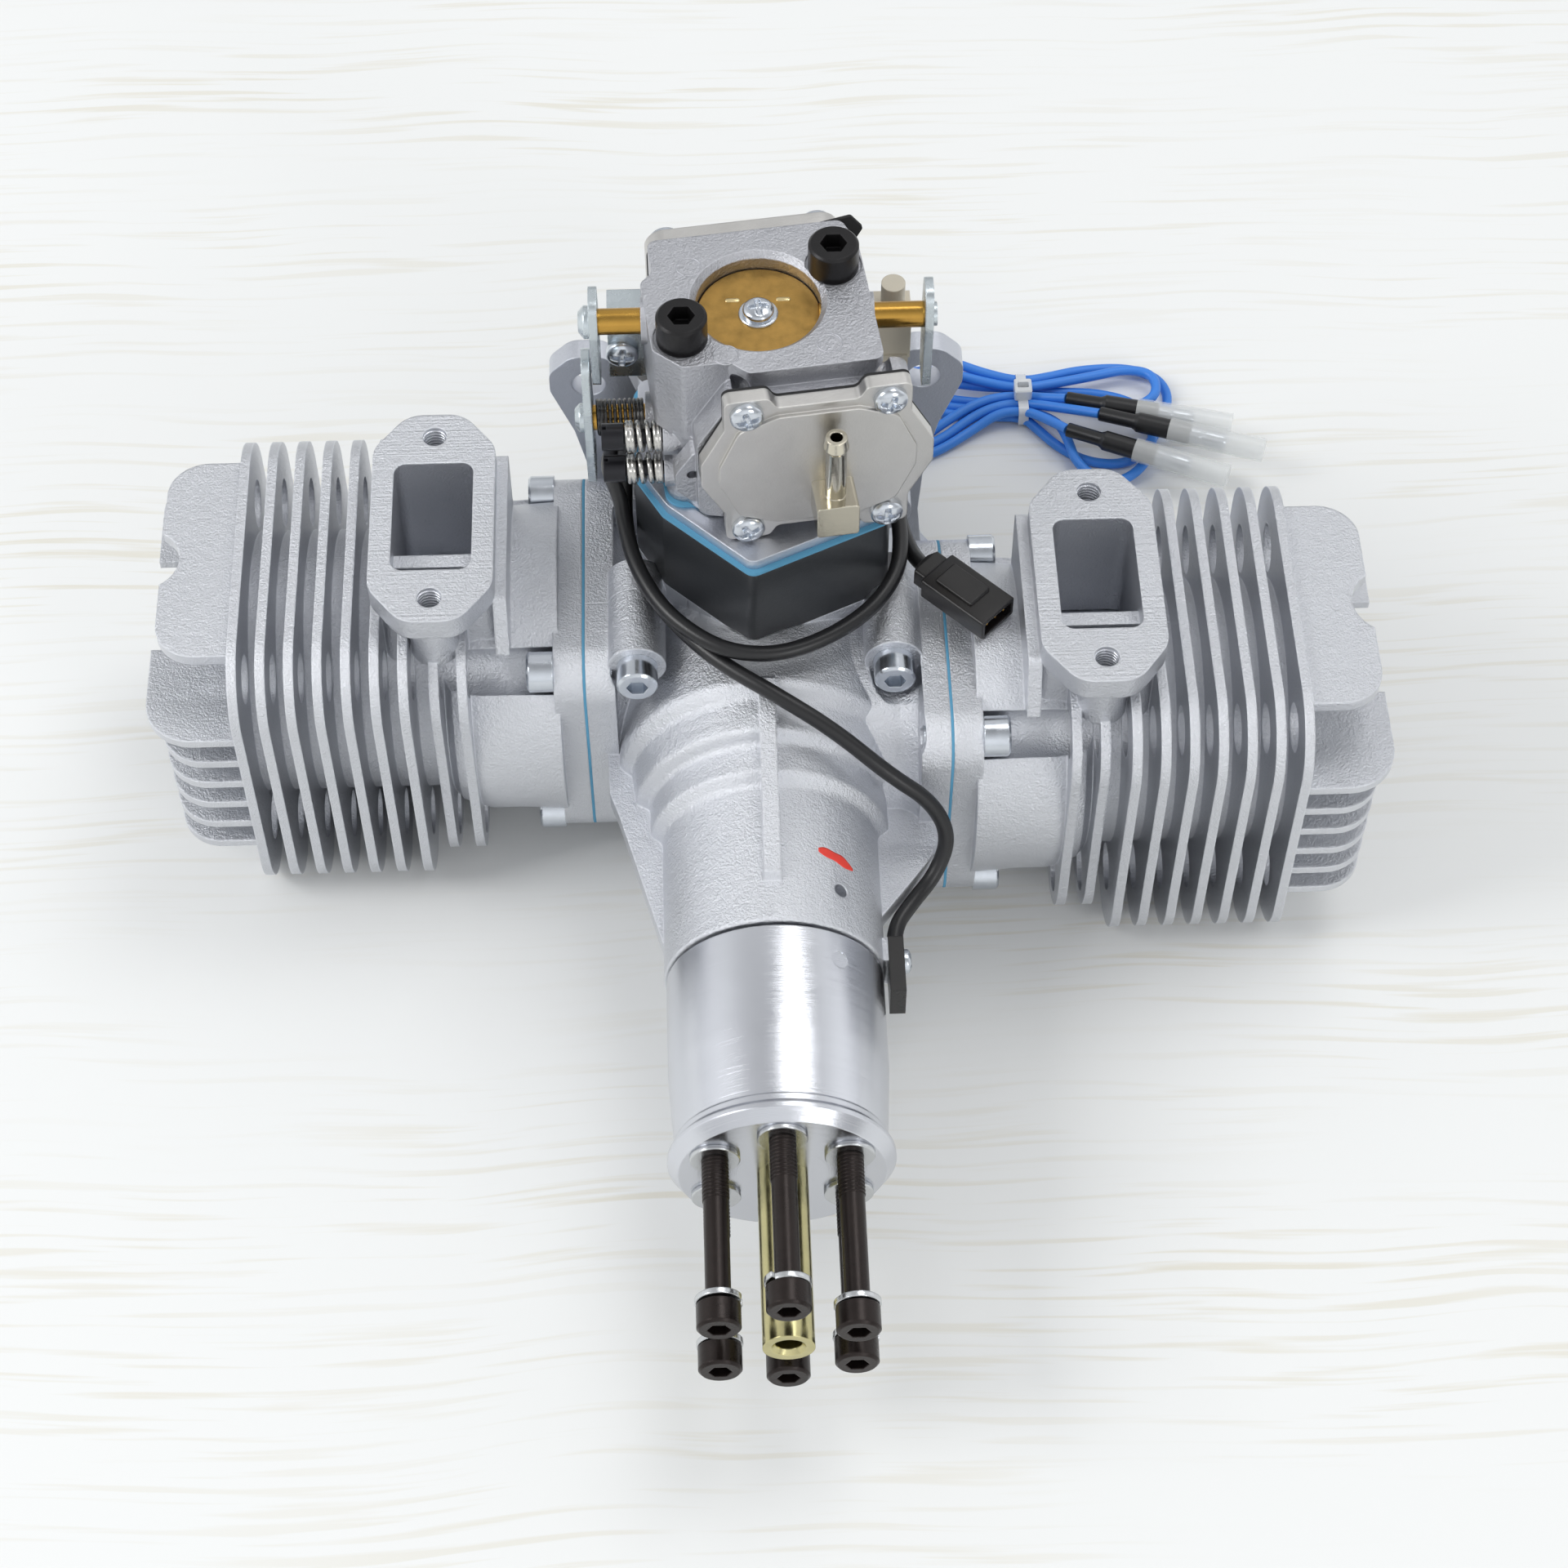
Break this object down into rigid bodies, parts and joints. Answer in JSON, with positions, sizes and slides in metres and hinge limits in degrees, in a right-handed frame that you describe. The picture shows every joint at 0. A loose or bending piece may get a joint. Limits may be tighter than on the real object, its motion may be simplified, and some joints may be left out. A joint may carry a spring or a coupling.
{
  "type": "flat twin aircraft engine",
  "caption": "Flat twin two-stroke model aircraft engine with finned cylinders, top carburettor, long propeller hub, rear starter and mount plate.",
  "frame": {"origin": "crank axis at the rear face of the mount plate", "axes": "+X to the right-hand cylinder, -Y to the propeller, +Z to the carburettor"},
  "size_m": [0.2556, 0.2793, 0.1394],
  "materials": {
    "cast_aluminium": "bead blasted",
    "machined_aluminium": "turned",
    "zinc_screw": "zinc plated",
    "black_screw": "black oxide",
    "plain_washer": "plated",
    "yellow_zinc": "yellow passivated zinc",
    "crank_steel": "ground",
    "blue_paper": "gasket paper",
    "black_paper": "gasket paper",
    "black_block": "satin",
    "plate_aluminium": "matte grey",
    "zinc_casting": "die cast",
    "nickel_cover": "dull nickel",
    "brass": "satin",
    "zinc_lever": "zinc plated",
    "black_needle": "black oxide",
    "nylon": "natural nylon",
    "black_bell": "satin black",
    "stator_core": "lacquered",
    "black_plastic": "satin",
    "black_lead": "satin",
    "blue_lead": "silicone",
    "clear_sleeve": "clear"
  },
  "bodies": {
    "engine": {"crankcase_front": "cast_aluminium", "crankcase_rear": "cast_aluminium", "cylinder_right": "cast_aluminium", "cylinder_left": "cast_aluminium", "case_screws": "zinc_screw", "base_screws": "zinc_screw", "small_screws": "zinc_screw", "carb_screws": "black_screw", "crank_bearings": "crank_steel", "base_gaskets": "blue_paper", "intake_gaskets": "blue_paper", "cover_gaskets": "black_paper", "intake_block": "black_block", "adaptor_plate": "plate_aluminium", "mount_plate": "plate_aluminium", "carb_body": "zinc_casting", "pump_cover": "nickel_cover", "metering_cover": "nickel_cover", "fuel_nipple": "nickel_cover", "linkage_bracket": "zinc_lever", "throttle_spring": "zinc_lever", "needle_springs": "zinc_lever", "side_block": "nylon", "reed_cage": "nylon", "starter_stator": "stator_core", "sensor_module": "black_plastic", "sensor_plug": "black_plastic", "bullet_plugs": "black_plastic", "sensor_lead": "black_lead", "blue_lead_run": "blue_lead", "blue_lead_hank": "blue_lead", "plug_sleeves": "clear_sleeve", "zip_tie": "clear_sleeve"},
    "crankshaft": {"crank_front": "crank_steel", "crank_mid": "crank_steel", "crank_rear": "crank_steel", "prop_hub": "machined_aluminium", "prop_sleeve": "yellow_zinc", "prop_bolts": "black_screw", "prop_washers": "plain_washer", "starter_bell": "black_bell", "starter_nut": "crank_steel"},
    "piston_group_right": {"piston_right": "machined_aluminium", "wrist_pin_right": "crank_steel", "connecting_rod_right": "machined_aluminium", "crank_pin_right": "crank_steel"},
    "piston_group_left": {"piston_left": "machined_aluminium", "wrist_pin_left": "crank_steel", "connecting_rod_left": "machined_aluminium", "crank_pin_left": "crank_steel"},
    "choke": {"choke_shaft": "brass", "choke_disc": "brass", "choke_lever_left": "zinc_lever", "choke_lever_right": "zinc_lever"},
    "throttle": {"throttle_shaft": "brass", "throttle_disc": "brass", "throttle_lever": "zinc_lever"},
    "needle_top": {"needle_upper": "black_needle"},
    "needle_low": {"needle_lower": "black_needle"}
  },
  "joints": [
    {"name": "crank_spin", "type": "hinge", "parent": "engine", "child": "crankshaft", "pos_m": [0, -0.06, 0], "axis": [0, 1, 0], "continuous": true},
    {"name": "piston_right_slide", "type": "slide", "parent": "engine", "child": "piston_group_right", "axis": [-1, 0, 0], "range_m": [0, 0.033]},
    {"name": "piston_left_slide", "type": "slide", "parent": "engine", "child": "piston_group_left", "axis": [1, 0, 0], "range_m": [0, 0.033]},
    {"name": "choke_turn", "type": "hinge", "parent": "engine", "child": "choke", "pos_m": [0, -0.028, 0.091], "axis": [1, 0, 0], "range_deg": [0, 75]},
    {"name": "throttle_turn", "type": "hinge", "parent": "engine", "child": "throttle", "pos_m": [0, -0.028, 0.063], "axis": [1, 0, 0], "range_deg": [0, 75], "stiffness_Nm_per_rad": 0.02, "springref_deg": -11.46},
    {"name": "needle_top_turn", "type": "hinge", "parent": "engine", "child": "needle_top", "pos_m": [-0.02, -0.04, 0.0706], "axis": [1, 0, 0], "continuous": true},
    {"name": "needle_low_turn", "type": "hinge", "parent": "engine", "child": "needle_low", "pos_m": [-0.02, -0.04, 0.061], "axis": [1, 0, 0], "continuous": true}
  ],
  "couplings": [
    {"joint": "piston_left_slide", "follows": "piston_right_slide", "ratio": 1}
  ]
}
